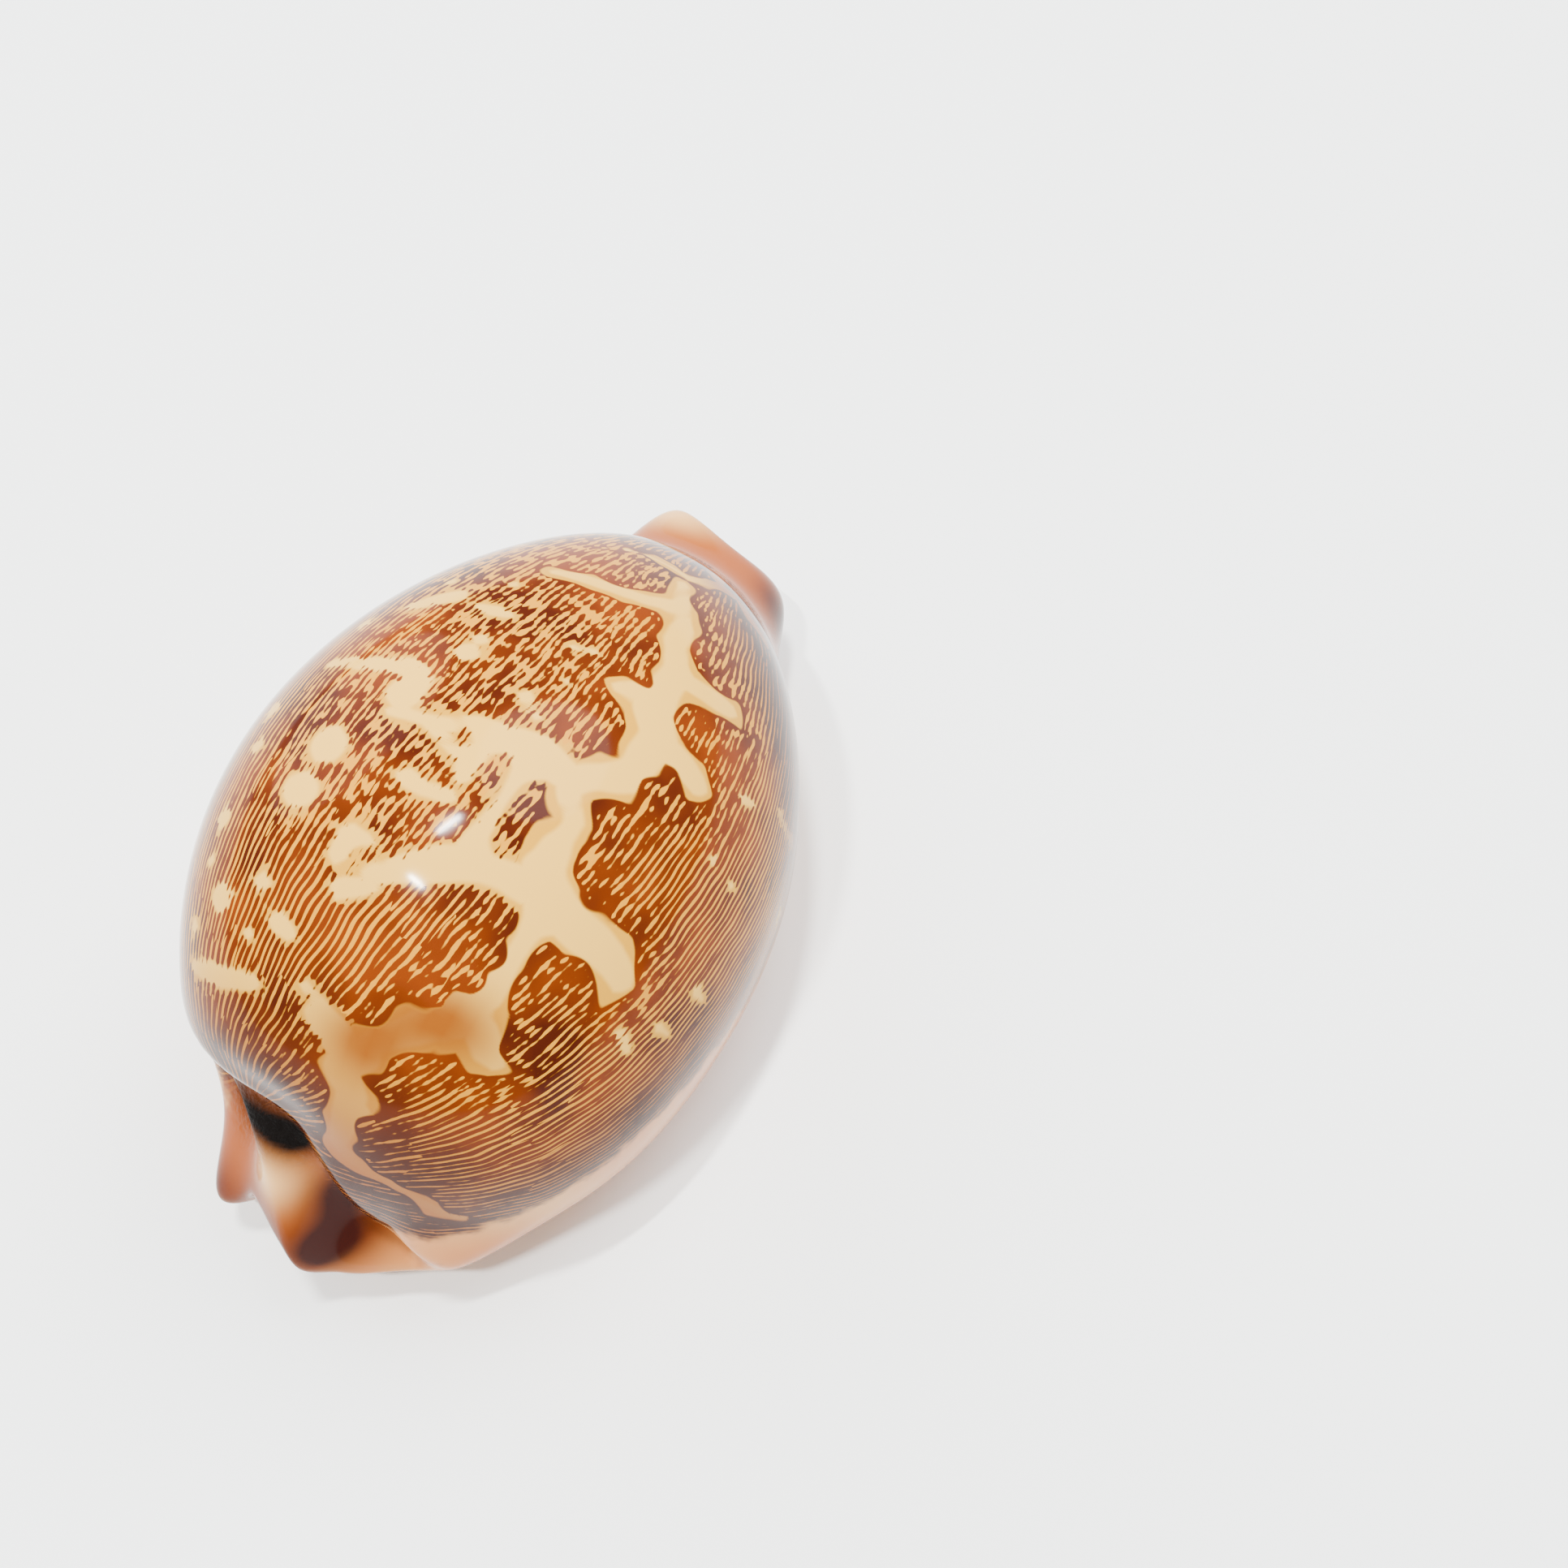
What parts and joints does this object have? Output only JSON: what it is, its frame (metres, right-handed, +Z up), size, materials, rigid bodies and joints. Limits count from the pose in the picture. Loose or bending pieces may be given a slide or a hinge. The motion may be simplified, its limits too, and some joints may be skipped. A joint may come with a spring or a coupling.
{
  "type": "cowrie shell",
  "caption": "Glossy egg-shaped map cowrie shell, hollow, with a toothed slit aperture along its base and a short notched spout at each end.",
  "frame": {"origin": "on the resting plane, under the middle of the shell's bounding box", "axes": "+Z up through the back, +Y along the shell towards the front (siphon) end, +X towards the outer lip"},
  "size_m": [0.0462, 0.0764, 0.0412],
  "materials": {
    "shell_enamel": "natural porcelain-like aragonite enamel, cream ground with burnt-orange line pattern, peach base"
  },
  "bodies": {
    "root": {"shell": "shell_enamel"}
  },
  "joints": []
}
